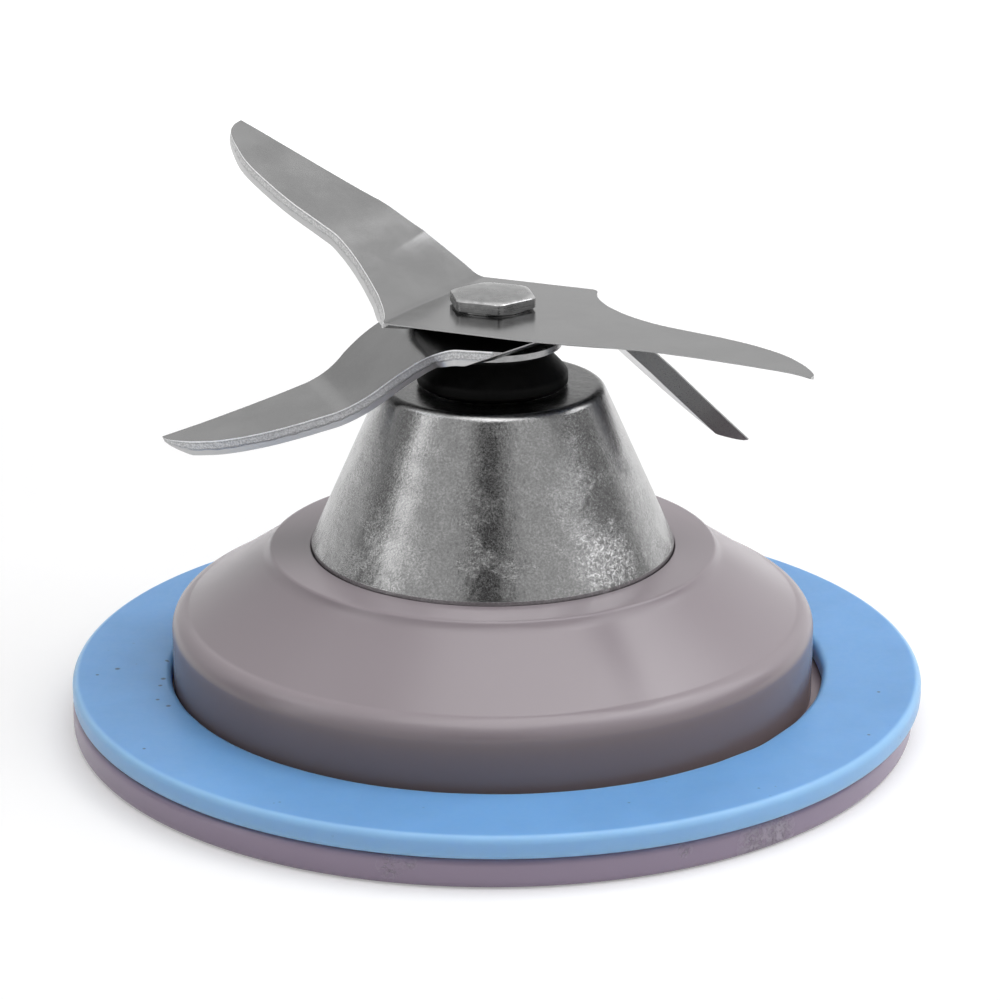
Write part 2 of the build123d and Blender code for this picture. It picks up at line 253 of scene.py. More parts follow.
BLADES = {
    "upper_blade": Blank(
        half=4.8, heading=-27.5, grind=4.0, run_on=2.0,
        front=Wing(25.3, LEAD, LEVEL_TRAIL),
        back=Wing(
            25.3, HIGH_LEAD, HIGH_TRAIL, land=0.1, bend=29.5, radius=2.2, twist=-11,
            settle=-9, settle_reach=9.5,
        ),
    ),
    "lower_blade": Blank(
        half=5.3, heading=19.7, grind=2.4, corner=(-2.2, -8.56), run_out=2.6,
        front=Wing(18.3, LOW_LEAD, LOW_TRAIL, land=3.1, bend=-45, radius=2.5, twist=-2),
        back=Wing(
            23.0, LOW_LEAD, LOW_TRAIL, land=0.3, bend=-47, radius=2.5, twist=-5,
            settle=31, settle_reach=6.5,
        ),
    ),
}


# Marks of wear and dirt, in millimetres

# Scuffs on the flange's edge: across, along, up, size, then the scratch noise that starts to show
SCUFFS = (
    (19.6, -28.6, 0.9, 1.2, 0.4), (21.4, -27.3, 1.1, 1.3, 0.38), (-7.4, -33.9, 1.5, 0.8, 0.5),
    (14.2, -31.7, 1.8, 0.5, 0.5), (-5.9, -34.2, 1.9, 0.4, 0.48),
)
# Specks on the gasket: across, along, size
SPECKS = (
    (-30.9, -2.55, 0.2), (-32.4, -3.85, 0.13), (-27.0, -0.75, 0.17), (-26.9, -4.7, 0.2), (-27.0, -6.15, 0.16),
    (-26.9, -9.1, 0.15), (-25.9, -10.4, 0.18), (-26.9, -18.9, 0.12), (31.2, -7.5, 0.13), (29.4, -16.2, 0.12),
)


# Procedural finishes

def shade(tint, *factors):
    """Tint made lighter or darker, by one factor or by one for each channel."""
    each = factors * (len(tint) // len(factors))
    return tuple(min(1, channel * factor) for channel, factor in zip(tint, each))


class Finish:
    """Node tree of one procedural finish, in the piece's own coordinates."""

    def __init__(self, name):
        self.material = bpy.data.materials.new(name)
        self.material.use_nodes = True
        self.tree = self.material.node_tree
        self.shader = self.tree.nodes["Principled BSDF"]
        self.place = self.node("ShaderNodeTexCoord").outputs["Object"]

    def node(self, kind, **settings):
        made = self.tree.nodes.new(kind)
        for key, value in settings.items():
            setattr(made, key, value)
        return made

    def feed(self, socket, value):
        """Sets a socket to a number or colour, or links an output to it."""
        if isinstance(value, bpy.types.NodeSocket):
            self.tree.links.new(value, socket)
        elif socket.type == "RGBA" and len(tuple(value)) == 3:
            socket.default_value = (*value, 1)
        else:
            socket.default_value = value

    def set(self, **values):
        """Sets the shader's sockets by name, with _ for a space."""
        for key, value in values.items():
            self.feed(self.shader.inputs[key.replace("_", " ")], value)

    def stretched(self, across, around, along):
        """Piece coordinates scaled along each axis."""
        mapping = self.node("ShaderNodeMapping")
        self.feed(mapping.inputs["Vector"], self.place)
        mapping.inputs["Scale"].default_value = (across, around, along)
        return mapping.outputs["Vector"]

    def noise(self, size, detail=2.0, roughness=0.5, vector=None, distortion=0.0):
        """Soft noise from 0 to 1 whose features are about size metres across."""
        made = self.node("ShaderNodeTexNoise")
        self.feed(made.inputs["Vector"], vector or self.place)
        made.inputs["Scale"].default_value = 1 / size
        made.inputs["Detail"].default_value = detail
        made.inputs["Roughness"].default_value = roughness
        made.inputs["Distortion"].default_value = distortion
        return made.outputs["Fac"]

    def cells(self, size):
        """Distance to the nearest of many scattered points."""
        made = self.node("ShaderNodeTexVoronoi")
        self.feed(made.inputs["Vector"], self.place)
        made.inputs["Scale"].default_value = 1 / size
        return made.outputs["Distance"]

    def ramp(self, factor, low, high, bottom=0.0, top=1.0):
        """Smooth step of a factor between low and high, mapped from bottom to top."""
        made = self.node("ShaderNodeMapRange", interpolation_type="SMOOTHSTEP")
        for index, value in enumerate((factor, low, high, bottom, top)):
            self.feed(made.inputs[index], value)
        return made.outputs["Result"]

    def maths(self, operation, first, second=0.0):
        made = self.node("ShaderNodeMath", operation=operation)
        self.feed(made.inputs[0], first)
        self.feed(made.inputs[1], second)
        return made.outputs["Value"]

    def times(self, first, second):
        return self.maths("MULTIPLY", first, second)

    def most(self, first, second):
        return self.maths("MAXIMUM", first, second)

    def blend(self, factor, first, second):
        """Mix of two colours."""
        made = self.node("ShaderNodeMix", data_type="RGBA")
        self.feed(made.inputs["Factor"], factor)
        self.feed(made.inputs["A"], first)
        self.feed(made.inputs["B"], second)
        return made.outputs["Result"]

    def mottle(self, factor, tint, dark, light):
        """Tint that goes from one shade of itself to another."""
        return self.blend(factor, shade(tint, dark), shade(tint, light))

    def cover(self, tone, mask, strength, over):
        """Tone with a colour laid over it, at some strength, where a mask is 1."""
        return self.blend(self.times(mask, strength), tone, over)

    def band(self, factor, middle, width):
        """1 in the middle of a band of a factor, falling to 0 at its sides."""
        away = self.maths("ABSOLUTE", self.maths("SUBTRACT", factor, middle))
        return self.ramp(away, width * 0.2, width * 0.5, 1.0, 0.0)

    def near(self, spot, inner, outer, within=1.0, beyond=0.0):
        """One value within inner metres of a spot, going over to another beyond outer."""
        made = self.node("ShaderNodeVectorMath", operation="DISTANCE")
        self.feed(made.inputs[0], self.place)
        made.inputs[1].default_value = spot
        return self.ramp(made.outputs["Value"], inner, outer, within, beyond)

    def dab(self, spot, size):
        """Soft round dab at a spot, all in millimetres."""
        return self.near([value * MM for value in spot], size * 0.5 * MM, size * 1.5 * MM)

    def height(self):
        """Height above the floor."""
        made = self.node("ShaderNodeSeparateXYZ")
        self.feed(made.inputs["Vector"], self.place)
        return made.outputs["Z"]

    def bump(self, height, depth, normal=None):
        """Relief whose full height is depth metres."""
        made = self.node("ShaderNodeBump")
        self.feed(made.inputs["Height"], height)
        made.inputs["Distance"].default_value = depth
        if normal:
            self.feed(made.inputs["Normal"], normal)
        return made.outputs["Normal"]

    def attribute(self, name):
        return self.node("ShaderNodeAttribute", attribute_name=name).outputs["Fac"]


def moulding_finish(settings):
    """Glossy moulded plastic, faintly mottled and scuffed at the flange's edge, with painted shade on the
    wall and painted bounce light on the flange.
    """
    f = Finish("taupe_moulding")
    tint = settings.tint
    height = f.height()
    above = settings.flange_height + 0.2 * MM
    below = settings.flange_height - 0.2 * MM
    flange = f.ramp(height, above, below)
    wall = f.times(f.ramp(height, below, above), f.ramp(height, 9.2 * MM, 7.4 * MM))
    tone = f.mottle(f.ramp(f.noise(14 * MM, 1), 0.2, 0.8), tint, 0.98, 1.02)
    # Painted light: the flange is painted lighter and bluer, for the bounce light from the floor and the
    # gasket
    tone = f.blend(flange, tone, shade(tint, 1.14, 1.05, 1.3))
    # Painted shade: the upright wall is painted darker and browner
    tone = f.blend(wall, tone, shade(tint, 0.8, 0.68, 0.58))
    scratch = f.noise(0.5 * MM, 4, 0.7, distortion=1.5)
    scuff = 0.0
    for *spot, size, start in SCUFFS:
        scuff = f.most(scuff, f.times(f.dab(spot, size), f.ramp(scratch, start, start + 0.16)))
    f.set(
        Base_Color=f.cover(tone, scuff, 0.75, (0.5, 0.45, 0.52)),
        Roughness=f.maths("ADD", settings.gloss, f.times(scuff, 0.35)), IOR=1.48,
        Normal=f.bump(scuff, 0.05 * MM),
    )
    return f.material


def gasket_finish(settings):
    """Satin silicone with a little light in it, with a painted highlight along its outer edge, and with a few
    dark specks.
    """
    f = Finish("blue_silicone")
    middle = (0.33 * MM, 0, 3.35 * MM)
    top = 4.3
    cloud = f.noise(9 * MM, 3, 0.55)
    fine = f.noise(0.5 * MM, 3, 0.6)
    # Painted highlight: the rounded outer edge is painted paler
    edge = f.near(middle, 34.35 * MM, 34.75 * MM, within=0.0, beyond=1.0)
    tone = f.mottle(f.ramp(cloud, 0.3, 0.7), settings.tint, 0.95, 1.05)
    tone = f.cover(tone, edge, 0.8, (0.36, 0.62, 0.95))
    mark = f.times(f.ramp(f.cells(1.6 * MM), 0.05, 0.09, 0.5, 0), f.ramp(f.noise(4 * MM, 1), 0.52, 0.66))
    for across, along, size in SPECKS:
        mark = f.most(mark, f.dab((across, along, top), size))
    f.set(
        Base_Color=f.cover(tone, mark, 0.8, (0.04, 0.06, 0.1)),
        Roughness=f.ramp(fine, 0.3, 0.7, 0.3, 0.4), IOR=1.41, Specular_IOR_Level=0.3,
        Subsurface_Weight=0.6, Subsurface_Radius=(0.7, 0.9, 1.0), Subsurface_Scale=1.6 * MM,
        Normal=f.bump(fine, 0.008 * MM, f.bump(cloud, 0.08 * MM)),
    )
    return f.material


def housing_finish(settings):
    """Plated casting with a crinkled, mottled grain, coarse at its foot, with painted glints on the crinkles
    that are brightest in one patch, and painted shade on its top face.
    """
    f = Finish("mottled_plating")
    tint = settings.tint
    fine = f.noise(settings.grain, 4, 0.65, distortion=0.6)
    crinkle = f.noise(settings.grain * 2.6, 4, 0.7, distortion=1.2)
    patch = f.noise(1.5 * MM, 3, 0.6)
    spread = f.ramp(f.noise(2.6 * MM, 2), 0.42, 0.62)
    foot = f.times(spread, f.ramp(f.height(), 27 * MM, 16 * MM, 0.35, 0.8))
    bright_spot = f.near((9.2 * MM, -10.7 * MM, 16.4 * MM), 1.2 * MM, 4.5 * MM)
    painted_ledge_shade = f.near((0, 0, 27.6 * MM), 8.75 * MM, 9.2 * MM)
    coarse = f.most(foot, bright_spot)
    speckle = f.ramp(fine, 0.36, 0.66)
    # Painted highlights: high crinkles at the foot and in one spot are painted lighter, as glints
    painted_glint = f.times(f.ramp(crinkle, 0.6, 0.7), coarse)
    painted_sparkle = f.times(bright_spot, f.ramp(crinkle, 0.46, 0.6))
    pit = f.times(f.ramp(f.cells(0.6 * MM), 0.1, 0.2, 1, 0), f.ramp(patch, 0.45, 0.6))
    tone = f.mottle(speckle, tint, 0.8, 1.18)
    tone = f.blend(f.ramp(patch, 0.35, 0.7, 0, 0.45), tone, shade(tint, 0.75))
    tone = f.cover(tone, painted_glint, 0.5, shade(tint, 1.8))
    tone = f.cover(tone, painted_sparkle, 0.5, shade(tint, 2.3))
    # Painted shade: the top face under the slinger and blades is painted nearly black, for the shade and dark
    # reflection there
    tone = f.cover(tone, painted_ledge_shade, 0.95, f.mottle(speckle, tint, 0.14, 0.4))
    relief = f.bump(f.times(crinkle, coarse), 0.055 * MM, f.bump(patch, 0.025 * MM))
    f.set(
        Base_Color=f.cover(tone, pit, 0.5, shade(tint, 0.4)),
        Metallic=1.0, Roughness=f.ramp(fine, 0.3, 0.7, 0.16, 0.27),
        Normal=f.bump(fine, 0.012 * MM, relief),
    )
    return f.material


def blade_face_finish(settings):
    """Satin rolled steel."""
    f = Finish("satin_blade")
    tint = settings.tint
    cloud = f.noise(5 * MM, 3, 0.6)
    grain = f.noise(0.12 * MM, 3, 0.6)
    tone = f.mottle(f.ramp(cloud, 0.3, 0.7), tint, 0.94, 1.06)
    f.set(
        Base_Color=f.blend(f.ramp(grain, 0.3, 0.75, 0, 0.3), tone, shade(tint, 1.2)),
        Metallic=1.0, Roughness=f.ramp(cloud, 0.3, 0.7, 0.16, 0.22),
        Normal=f.bump(grain, 0.002 * MM, f.bump(cloud, 0.02 * MM)),
    )
    return f.material


def sheared_edge_finish(settings):
    """Sheared edge: a painted highlight along the top edge, a torn band and a burnished one below, parted by
    dark lines.
    """
    f = Finish("sheared_edge")
    tint = settings.tint
    tear = f.noise(0.14 * MM, 4, 0.7)
    waver = f.times(f.maths("SUBTRACT", f.noise(0.6 * MM, 3), 0.5), 0.3)
    depth = f.attribute("depth")
    border = f.maths("ADD", depth, waver)
    burnished = f.ramp(border, 0.56, 0.64)
    # Painted highlight: a thin band along the top edge is painted very light
    painted_top_highlight = f.ramp(depth, 0.1, 0.05)
    lines = f.most(f.band(border, 0.54, 0.09), f.band(depth, 0.15, 0.1))
    torn_tone = f.mottle(f.ramp(tear, 0.35, 0.65), tint, 1.5, 2.5)
    tone = f.blend(burnished, torn_tone, shade(tint, 1.8))
    tone = f.cover(tone, lines, 0.35, shade(tint, 0.6))
    f.set(
        Base_Color=f.blend(painted_top_highlight, tone, shade(tint, 3.4)), Metallic=1.0,
        Roughness=f.ramp(burnished, 0, 1, 0.5, 0.32),
        Normal=f.bump(f.times(tear, f.maths("SUBTRACT", 1.0, burnished)), 0.05 * MM),
    )
    return f.material


def ground_edge_finish(settings):
    """Bevel ground along a blade's straight edge, with fine scratches across it."""
    f = Finish("ground_edge")
    scratch = f.noise(0.08 * MM, 3, 0.7, f.stretched(1, 1, 0.2))
    f.set(
        Base_Color=f.mottle(f.ramp(scratch, 0.3, 0.7), settings.tint, 1.05, 1.4),
        Metallic=1.0, Roughness=f.ramp(scratch, 0.3, 0.7, 0.26, 0.36),
        Normal=f.bump(scratch, 0.006 * MM),
    )
    return f.material


def rubber_finish(settings):
    """Satin black rubber with a fine bloom."""
    f = Finish("satin_rubber")
    bloom = f.noise(0.6 * MM, 4, 0.65)
    f.set(
        Base_Color=f.mottle(f.ramp(bloom, 0.35, 0.75), settings.rubber, 1, 2.2),
        Roughness=f.ramp(bloom, 0.3, 0.7, 0.45, 0.6), IOR=1.5, Specular_IOR_Level=0.1,
        Normal=f.bump(bloom, 0.012 * MM),
    )
    return f.material


def steel_finish(settings):
    """Turned steel with fine lathe marks, lighter along the head's bevel, as edge wear with a painted
    highlight.
    """
    f = Finish("turned_steel")
    tint = settings.steel
    marks = f.noise(0.3 * MM, 3, 0.6, f.stretched(0.15, 0.15, 3))
    cloud = f.noise(1.1 * MM, 3, 0.6)
    # Painted highlight with edge wear: the head's bevel is painted lighter
    worn = f.times(f.attribute("worn"), f.ramp(cloud, 0.35, 0.6, 0.3, 1))
    tone = f.mottle(f.ramp(cloud, 0.3, 0.7), tint, 0.85, 1.1)
    f.set(
        Base_Color=f.blend(worn, tone, shade(tint, 1.9)),
        Metallic=1.0, Roughness=f.ramp(marks, 0.3, 0.7, 0.24, 0.36),
        Normal=f.bump(marks, 0.005 * MM, f.bump(cloud, 0.01 * MM)),
    )
    return f.material


def sintered_finish(name, tint, roughness):
    """Pressed and sintered metal with open pores."""
    f = Finish(name)
    pores = f.cells(0.22 * MM)
    cloud = f.noise(1.2 * MM, 3, 0.6)
    tone = f.mottle(f.ramp(cloud, 0.3, 0.7), tint, 0.8, 1.15)
    f.set(
        Base_Color=f.blend(f.ramp(pores, 0.12, 0.3, 0.7, 0), tone, shade(tint, 0.25)), Metallic=1.0,
        Roughness=f.ramp(cloud, 0.3, 0.7, roughness - 0.06, roughness + 0.08),
        Normal=f.bump(pores, 0.02 * MM),
    )
    return f.material


def felt_finish(settings):
    """Oiled felt of tangled fibres."""
    f = Finish("oiled_felt")
    fibres = f.noise(0.09 * MM, 4, 0.7, f.stretched(1, 1, 4), 2.0)
    f.set(
        Base_Color=f.mottle(f.ramp(fibres, 0.3, 0.7), settings.felt, 0.6, 1.3),
        Roughness=f.ramp(fibres, 0.3, 0.7, 0.7, 0.95), Normal=f.bump(fibres, 0.1 * MM),
    )
    return f.material


# Mesh making

def spun(x, y, angle):
    """Flat point turned about the origin."""
    return x * math.cos(angle) - y * math.sin(angle), x * math.sin(angle) + y * math.cos(angle)


def tangent_arc(start, heading, end, steps):
    """Points after start on the arc that leaves it along heading and reaches end."""
    start, heading, end = Vector(start), Vector(heading).normalized(), Vector(end)
    chord = end - start
    bend = 2 * heading.angle_signed(chord)
    points = []
    for step in range(1, steps + 1):
        half = bend * step / steps / 2
        reach = chord.length * math.sin(half) / math.sin(bend / 2)
        points.append(start + reach * Vector(spun(*heading, -half)))
    return points


def rounded(corners, steps=6):
    """Closed (radius, height) outline from (radius, height, rounding) corners."""
    outline = []
    for index, (radius, height, rounding) in enumerate(corners):
        corner = Vector((radius, height))
        if not rounding:
            outline.append(corner)
            continue
        back = (Vector(corners[index - 1][:2]) - corner).normalized()
        onward = (Vector(corners[(index + 1) % len(corners)][:2]) - corner).normalized()
        half = back.angle(onward) / 2
        start = corner + back * rounding / math.tan(half)
        end = corner + onward * rounding / math.tan(half)
        outline.append(start)
        outline.extend(tangent_arc(start, -back, end, steps))
    return outline


def divided(outline, longest):
    """Closed outline with its long runs cut into shorter ones."""
    points = []
    for index, point in enumerate(outline):
        onward = outline[(index + 1) % len(outline)]
        cuts = max(1, math.ceil((onward - point).length / longest))
        points.extend(point.lerp(onward, cut / cuts) for cut in range(cuts))
    return points


def skin(bm, rows, closed=True):
    """Adds faces between neighbouring rows of verts, with each row's ends joined, and lists them by band."""
    bands = []
    for row, onward in zip(rows, rows[1:]):
        band = []
        for index in range(len(row) if closed else len(row) - 1):
            after = (index + 1) % len(row)
            band.append(bm.faces.new((row[index], onward[index], onward[after], row[after])))
        bands.append(band)
    return bands


def turned(bm, outline, segments, shape=None):
    """Adds a ring turned about the shaft's axis from an anticlockwise outline of (radius, height)."""
    rings = []
    for segment in range(segments):
        angle = 2 * math.pi * segment / segments
        ring = []
        for radius, height in outline:
            out = shape(radius, angle) if shape else radius
            ring.append(bm.verts.new((*spun(out, 0, angle), height)))
        rings.append(ring)
    skin(bm, rings + rings[:1])


def finished_piece(name, bm, materials, body, nodes, crease=35.0, shift=(0, 0, 0)):
    """Turns a bmesh into a piece that rides on a body and stands for some nodes."""
    mesh = bpy.data.meshes.new(name)
    bmesh.ops.translate(bm, verts=bm.verts, vec=Vector(shift))
    bm.to_mesh(mesh)
    bm.free()
    mesh.polygons.foreach_set("use_smooth", [True] * len(mesh.polygons))
    mesh.set_sharp_from_angle(angle=math.radians(crease))
    for material in materials:
        mesh.materials.append(material)
    piece = bpy.data.objects.new(name, mesh)
    bpy.context.scene.collection.objects.link(piece)
    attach(piece, body)
    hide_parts(*nodes)


def paint(material, *nodes):
    """Gives nodes of the frame a finish."""
    for node in nodes:
        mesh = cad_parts[node].data
        mesh.materials.clear()
        mesh.materials.append(material)


def settings_of(context):
    return context.scene.blade_unit


# Operators, one for each piece or group of like pieces

class BLADEUNIT_OT_moulding(bpy.types.Operator):
    """Make the moulded base with its flange, lip and ribs"""
    bl_idname = "blade_unit.moulding"
    bl_label = "Moulded Base"

    def execute(self, context):
        s = settings_of(context).moulding
        low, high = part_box("base_collar")
        flange, top = high.x, high.z
        slope_start = Vector((s.shoulder_radius, s.shoulder_height))
        slope_end = Vector((s.slope_radius, s.slope_height))
        shoulder = tangent_arc((s.wall_radius, s.wall_height), (0, 1), slope_start, steps=10)
        cove = tangent_arc(slope_end, slope_end - slope_start, (s.lip_radius, top), steps=6)
        corners = [
            (s.cavity_radius, low.z, 0.25 * MM), (flange, low.z, s.flange_round),
            (flange, s.flange_height, s.flange_round), (s.wall_radius, s.flange_height, 0),
            (s.wall_radius, s.wall_height, 0), *((*point, 0) for point in shoulder[:-1]),
            (*slope_start, 0.9 * MM), (*slope_end, 0), *((*point, 0) for point in cove[:-1]),
            (s.lip_radius, top, s.lip_round), (s.seat_radius, top, 0.15 * MM),
            (s.seat_radius, s.seat_height, 0), (s.hole_radius, s.seat_height, 0),
            (s.hole_radius, s.deck_height, 0.1 * MM), (s.lip_radius, s.deck_height, 0.4 * MM),
            (s.cavity_radius, s.cavity_height, 0.4 * MM),
        ]
        bm = bmesh.new()
        turned(bm, divided(rounded(corners), longest=1.2 * MM), segments=256)
        self.add_ribs(bm, s)
        finished_piece("moulded_base", bm, [moulding_finish(s)], "base", ["base_collar"])
        return {"FINISHED"}

    def add_ribs(self, bm, s):
        """Ribs that hang below the deck and run out to the wall, with eased lower edges."""
        bottom = s.deck_height - s.rib_depth
        sunk = 0.3 * MM
        ease = 0.25 * MM
        part = (bottom - s.cavity_height) / (s.deck_height - s.cavity_height)
        wall = s.cavity_radius + (s.lip_radius - s.cavity_radius) * part
        outline = [
            (s.rib_start, bottom), (wall + sunk, bottom), (s.lip_radius + sunk, s.deck_height + sunk),
            (s.rib_start, s.deck_height + sunk),
        ]
        for index in range(s.rib_count):
            angle = math.pi / s.rib_count + 2 * math.pi * index / s.rib_count
            along = Vector((math.cos(angle), math.sin(angle), 0))
            across = Vector((-along.y, along.x, 0)) * s.rib_thickness / 2
            sides = []
            for sign in (-1, 1):
                places = [along * out + across * sign + Vector((0, 0, up)) for out, up in outline]
                sides.append([bm.verts.new(place) for place in places])
            made = [bm.faces.new(sides[0]), bm.faces.new(reversed(sides[1])), *skin(bm, sides)[0]]
            bmesh.ops.recalc_face_normals(bm, faces=made)
            edges = dict.fromkeys(edge for face in made for edge in face.edges)
            lower = [edge for edge in edges if all(abs(vert.co.z - bottom) < MERGE for vert in edge.verts)]
            bmesh.ops.bevel(bm, geom=lower, offset=ease, segments=3, profile=0.5, affect="EDGES")


class BLADEUNIT_OT_gasket(bpy.types.Operator):
    """Make the loose silicone ring"""
    bl_idname = "blade_unit.gasket"
    bl_label = "Sealing Gasket"

    def execute(self, context):
        s = settings_of(context).gasket
        low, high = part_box("sealing_gasket")
        middle = (low + high) / 2
        outer = (high.x - low.x) / 2
        corners = [
            (s.inner_radius, low.z, s.edge_round), (outer, low.z, s.edge_round),
            (outer, high.z, s.edge_round), (s.inner_radius, high.z, s.edge_round),
        ]
        edge_band = 1.2 * MM
        waviness = 9
        waver_depth = 0.06 * MM
        step_depth = 0.16 * MM
        step_heading = 318
        step_spread = 4

        def cut_unevenly(radius, angle):
            """The inner edge wavers a little and has one small step."""
            inside = max(0, 1 - (radius - s.inner_radius) / edge_band)
            around = Vector((math.cos(angle), math.sin(angle), 0))
            waver = noise.noise(around * waviness) * waver_depth
            step = step_depth * math.exp(-((math.degrees(angle) - step_heading) / step_spread) ** 2)
            return radius + inside * (waver + step)

        bm = bmesh.new()
        turned(bm, divided(rounded(corners, steps=8), longest=0.8 * MM), segments=320, shape=cut_unevenly)
        shift = (middle.x, middle.y, 0)
        material = gasket_finish(s)
        finished_piece("sealing_ring", bm, [material], "base", ["sealing_gasket"], shift=shift)
        return {"FINISHED"}


class BLADEUNIT_OT_housing(bpy.types.Operator):
    """Make the plated bearing housing"""
    bl_idname = "blade_unit.housing"
    bl_label = "Bearing Housing"

    def execute(self, context):
        s = settings_of(context).housing
        low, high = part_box("bearing_housing")
        foot = high.x
        corners = [
            (s.bore_radius, low.z, 0.2 * MM), (s.stem_radius, low.z, 0.3 * MM),
            (s.stem_radius, s.base_height, 0), (foot, s.base_height, 0.1 * MM),
            (foot, s.base_height + s.rim_height, 0.3 * MM), (s.top_radius, high.z, s.top_round),
            (s.pocket_radius, high.z, 0.2 * MM), (s.pocket_radius, s.pocket_height, 0),
            (s.bore_radius, s.pocket_height, 0),
        ]
        bm = bmesh.new()
        turned(bm, divided(rounded(corners, steps=10), longest=0.6 * MM), segments=256)
        finished_piece("plated_housing", bm, [housing_finish(s)], "base", ["bearing_housing"])
        return {"FINISHED"}


def along_rows(rows, share):
    """Smooth curve through (share, value) rows."""
    for index in range(len(rows) - 1):
        if share <= rows[index + 1][0] or index == len(rows) - 2:
            break
    (x0, y0), (x1, y1) = rows[index], rows[index + 1]
    before = rows[index - 1] if index else rows[0]
    after = rows[index + 2] if index + 2 < len(rows) else rows[-1]
    slope0 = (y1 - before[1]) / (x1 - before[0])
    slope1 = (after[1] - y0) / (after[0] - x0)
    run = x1 - x0
    t = (share - x0) / run
    return (
        y0 * (1 + 2 * t) * (1 - t) ** 2 + slope0 * run * t * (1 - t) ** 2
        + y1 * t * t * (3 - 2 * t) + slope1 * run * t * t * (t - 1)
    )


class Section(NamedTuple):
    """Cross section of a blade: its place and axes, its two edges across it, and how far each is ground."""
    place: Vector
    across: Vector
    up: Vector
    first: float
    last: float
    first_grind: float
    last_grind: float


